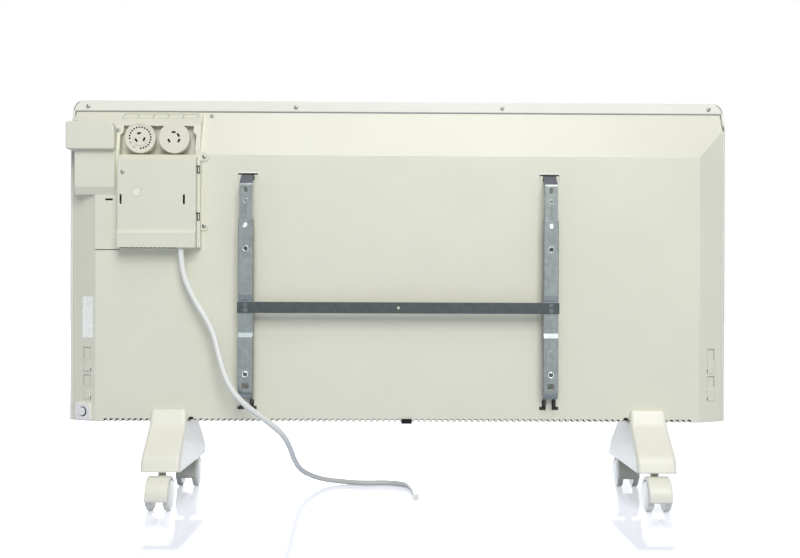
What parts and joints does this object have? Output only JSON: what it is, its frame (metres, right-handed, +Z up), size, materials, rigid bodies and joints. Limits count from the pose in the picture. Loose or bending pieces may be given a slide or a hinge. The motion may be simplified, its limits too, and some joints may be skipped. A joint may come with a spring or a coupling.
{
  "type": "wall panel convector heater",
  "caption": "Slim electric panel convector heater on castor feet, shown with its hinged wall bracket, corner controls and mains cord.",
  "frame": {"origin": "on the floor, under the middle of the panel's width and midway between the castors", "axes": "+Z up; the front of the heater faces -Y and the wall is on its +Y side; +X is the end with the controls, on the left seen from behind"},
  "size_m": [0.9, 0.251, 0.55],
  "materials": {
    "cover_paint": "satin powder coat",
    "pan_paint": "satin powder coat",
    "housing_plastic": "fine matt mould grain",
    "knob_plastic": "satin",
    "pin_plastic": "satin",
    "sensor_plastic": "satin",
    "foot_plastic": "satin",
    "castor_tread": "satin",
    "castor_steel": "bright zinc",
    "screw_steel": "bright zinc",
    "zinc_steel": "galvanised sheet",
    "bar_steel": "galvanised sheet",
    "foil": "thin foil",
    "black_plastic": "matt",
    "cord_sheath": "soft satin sheath",
    "grey_plastic": "matt",
    "board": "lacquered laminate",
    "element_aluminium": "as extruded",
    "inner_steel": "galvanised sheet",
    "ceramic": "unglazed ceramic"
  },
  "bodies": {
    "heater": {"front_cover": "cover_paint", "back_panel": "pan_paint", "rim_screws": "screw_steel", "control_housing": "housing_plastic", "control_cap": "housing_plastic", "control_board": "board", "junction_cover": "housing_plastic", "cover_screw": "screw_steel", "housing_screws": "screw_steel", "terminal_block": "black_plastic", "cord_clamp": "grey_plastic", "mains_cord": "cord_sheath", "rating_plate": "foil", "room_sensor_holder": "sensor_plastic", "room_sensor": "sensor_plastic", "centre_clip": "black_plastic", "heating_element": "element_aluminium", "element_brackets": "inner_steel", "element_insulators": "ceramic", "heat_baffle": "inner_steel", "thermal_cutout": "grey_plastic", "thermostat_control": "grey_plastic", "mode_switch": "grey_plastic", "left_foot": "foot_plastic", "right_foot": "foot_plastic", "foot_screws": "screw_steel"},
    "thermostat_knob": {"thermostat_wheel": "knob_plastic", "limit_pins": "pin_plastic", "thermostat_spindle": "grey_plastic"},
    "mode_knob": {"mode_wheel": "knob_plastic", "mode_spindle": "grey_plastic"},
    "wall_bracket": {"left_rail": "zinc_steel", "right_rail": "zinc_steel", "crossbar": "bar_steel", "bracket_rivets": "zinc_steel"},
    "left_catch": {"left_latch": "zinc_steel"},
    "right_catch": {"right_latch": "zinc_steel"},
    "left_front_castor": {"left_front_castor_hood": "foot_plastic", "left_front_castor_stem": "castor_steel", "left_front_castor_axle": "castor_steel"},
    "left_front_castor_left_wheel": {"left_front_castor_left_wheel": "castor_tread"},
    "left_front_castor_right_wheel": {"left_front_castor_right_wheel": "castor_tread"},
    "left_rear_castor": {"left_rear_castor_hood": "foot_plastic", "left_rear_castor_stem": "castor_steel", "left_rear_castor_axle": "castor_steel"},
    "left_rear_castor_left_wheel": {"left_rear_castor_left_wheel": "castor_tread"},
    "left_rear_castor_right_wheel": {"left_rear_castor_right_wheel": "castor_tread"},
    "right_front_castor": {"right_front_castor_hood": "foot_plastic", "right_front_castor_stem": "castor_steel", "right_front_castor_axle": "castor_steel"},
    "right_front_castor_left_wheel": {"right_front_castor_left_wheel": "castor_tread"},
    "right_front_castor_right_wheel": {"right_front_castor_right_wheel": "castor_tread"},
    "right_rear_castor": {"right_rear_castor_hood": "foot_plastic", "right_rear_castor_stem": "castor_steel", "right_rear_castor_axle": "castor_steel"},
    "right_rear_castor_left_wheel": {"right_rear_castor_left_wheel": "castor_tread"},
    "right_rear_castor_right_wheel": {"right_rear_castor_right_wheel": "castor_tread"}
  },
  "joints": [
    {"name": "bracket_tilt", "type": "hinge", "parent": "heater", "child": "wall_bracket", "pos_m": [0, 0.0395, 0.1369], "axis": [-1, 0, 0], "range_deg": [0, 20]},
    {"name": "left_catch_slide", "type": "slide", "parent": "wall_bracket", "child": "left_catch", "axis": [0, 0, -1], "range_m": [0, 0.004], "stiffness_N_per_m": 300, "springref_m": -0.004},
    {"name": "right_catch_slide", "type": "slide", "parent": "wall_bracket", "child": "right_catch", "axis": [0, 0, -1], "range_m": [0, 0.004], "stiffness_N_per_m": 300, "springref_m": -0.004},
    {"name": "thermostat_turn", "type": "hinge", "parent": "heater", "child": "thermostat_knob", "pos_m": [0.3505, 0.038, 0.494], "axis": [0, 1, 0], "range_deg": [0, 270]},
    {"name": "mode_turn", "type": "hinge", "parent": "heater", "child": "mode_knob", "pos_m": [0.3045, 0.038, 0.494], "axis": [0, 1, 0], "range_deg": [0, 140]},
    {"name": "left_front_castor_swivel", "type": "hinge", "parent": "heater", "child": "left_front_castor", "pos_m": [0.31, -0.084, 0.06], "axis": [0, 0, 1], "continuous": true},
    {"name": "left_front_castor_left_roll", "type": "hinge", "parent": "left_front_castor", "child": "left_front_castor_left_wheel", "pos_m": [0.31, -0.1, 0.02], "axis": [1, 0, 0], "continuous": true},
    {"name": "left_front_castor_right_roll", "type": "hinge", "parent": "left_front_castor", "child": "left_front_castor_right_wheel", "pos_m": [0.31, -0.1, 0.02], "axis": [1, 0, 0], "continuous": true},
    {"name": "left_rear_castor_swivel", "type": "hinge", "parent": "heater", "child": "left_rear_castor", "pos_m": [0.31, 0.084, 0.06], "axis": [0, 0, 1], "continuous": true},
    {"name": "left_rear_castor_left_roll", "type": "hinge", "parent": "left_rear_castor", "child": "left_rear_castor_left_wheel", "pos_m": [0.31, 0.1, 0.02], "axis": [1, 0, 0], "continuous": true},
    {"name": "left_rear_castor_right_roll", "type": "hinge", "parent": "left_rear_castor", "child": "left_rear_castor_right_wheel", "pos_m": [0.31, 0.1, 0.02], "axis": [1, 0, 0], "continuous": true},
    {"name": "right_front_castor_swivel", "type": "hinge", "parent": "heater", "child": "right_front_castor", "pos_m": [-0.3395, -0.084, 0.06], "axis": [0, 0, 1], "continuous": true},
    {"name": "right_front_castor_left_roll", "type": "hinge", "parent": "right_front_castor", "child": "right_front_castor_left_wheel", "pos_m": [-0.3395, -0.1, 0.02], "axis": [1, 0, 0], "continuous": true},
    {"name": "right_front_castor_right_roll", "type": "hinge", "parent": "right_front_castor", "child": "right_front_castor_right_wheel", "pos_m": [-0.3395, -0.1, 0.02], "axis": [1, 0, 0], "continuous": true},
    {"name": "right_rear_castor_swivel", "type": "hinge", "parent": "heater", "child": "right_rear_castor", "pos_m": [-0.3395, 0.084, 0.06], "axis": [0, 0, 1], "continuous": true},
    {"name": "right_rear_castor_left_roll", "type": "hinge", "parent": "right_rear_castor", "child": "right_rear_castor_left_wheel", "pos_m": [-0.3395, 0.1, 0.02], "axis": [1, 0, 0], "continuous": true},
    {"name": "right_rear_castor_right_roll", "type": "hinge", "parent": "right_rear_castor", "child": "right_rear_castor_right_wheel", "pos_m": [-0.3395, 0.1, 0.02], "axis": [1, 0, 0], "continuous": true}
  ]
}
